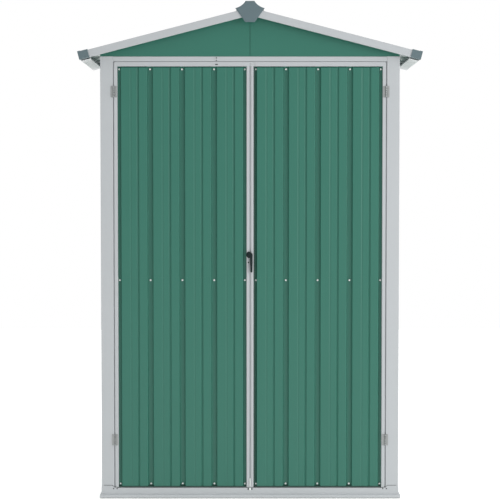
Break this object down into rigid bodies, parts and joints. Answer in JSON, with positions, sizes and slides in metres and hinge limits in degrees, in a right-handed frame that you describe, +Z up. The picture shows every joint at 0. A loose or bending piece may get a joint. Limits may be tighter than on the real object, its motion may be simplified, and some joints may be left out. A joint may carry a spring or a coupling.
{
  "type": "metal storage shed",
  "caption": "Narrow steel garden shed with corrugated walls, a gable roof and a pair of outward-opening hinged doors with a lever handle.",
  "frame": {"origin": "on the ground under the middle of the shed", "axes": "+X to the right seen from the doors, +Y towards the back wall, +Z up"},
  "size_m": [1.2032, 0.458, 1.7501],
  "materials": {
    "green_steel": "satin polyester coating on steel sheet",
    "light_grey_steel": "satin light grey coating on folded steel",
    "slate_plastic": "moulded plastic, fine matt texture",
    "zinc_steel": "zinc plated",
    "black_plastic": "moulded black plastic, satin"
  },
  "bodies": {
    "shed": {"base_front_rail": "light_grey_steel", "base_back_rail": "light_grey_steel", "base_left_rail": "light_grey_steel", "base_right_rail": "light_grey_steel", "post_front_left": "light_grey_steel", "post_front_right": "light_grey_steel", "post_back_left": "light_grey_steel", "post_back_right": "light_grey_steel", "header_front": "light_grey_steel", "top_rail_back": "light_grey_steel", "top_rail_left": "light_grey_steel", "top_rail_right": "light_grey_steel", "side_wall_left": "green_steel", "side_wall_right": "green_steel", "back_wall": "green_steel", "wall_mid_rails": "light_grey_steel", "gable_front": "green_steel", "gable_back": "green_steel", "roof_panel_left": "green_steel", "roof_panel_right": "green_steel", "ridge_cap": "light_grey_steel", "verge_front_left": "light_grey_steel", "verge_front_right": "light_grey_steel", "verge_back_left": "light_grey_steel", "verge_back_right": "light_grey_steel", "eave_trim_left": "light_grey_steel", "eave_trim_right": "light_grey_steel", "verge_caps": "slate_plastic", "ridge_plug_front": "slate_plastic", "ridge_plug_back": "slate_plastic", "left_hinge_post_leaves": "zinc_steel", "right_hinge_post_leaves": "zinc_steel"},
    "left_door": {"left_door_panel": "green_steel", "left_door_hinge_stile": "light_grey_steel", "left_door_closing_strip": "light_grey_steel", "left_door_rails": "light_grey_steel", "left_door_hinge_leaves": "zinc_steel", "handle_rosette": "black_plastic"},
    "handle": {"handle_lever": "black_plastic"},
    "right_door": {"right_door_panel": "green_steel", "right_door_hinge_stile": "light_grey_steel", "right_door_meeting_stile": "light_grey_steel", "right_door_rails": "light_grey_steel", "right_door_hinge_leaves": "zinc_steel"}
  },
  "joints": [
    {"name": "left_door_swing", "type": "hinge", "parent": "shed", "child": "left_door", "pos_m": [-0.47725, -0.1982, 0.8], "axis": [0, 0, -1], "range_deg": [0, 170]},
    {"name": "right_door_swing", "type": "hinge", "parent": "shed", "child": "right_door", "pos_m": [0.47725, -0.1982, 0.8], "axis": [0, 0, 1], "range_deg": [0, 170]},
    {"name": "handle_turn", "type": "hinge", "parent": "left_door", "child": "handle", "pos_m": [-0.004, -0.2005, 0.863], "axis": [0, 1, 0], "range_deg": [0, 90]}
  ]
}
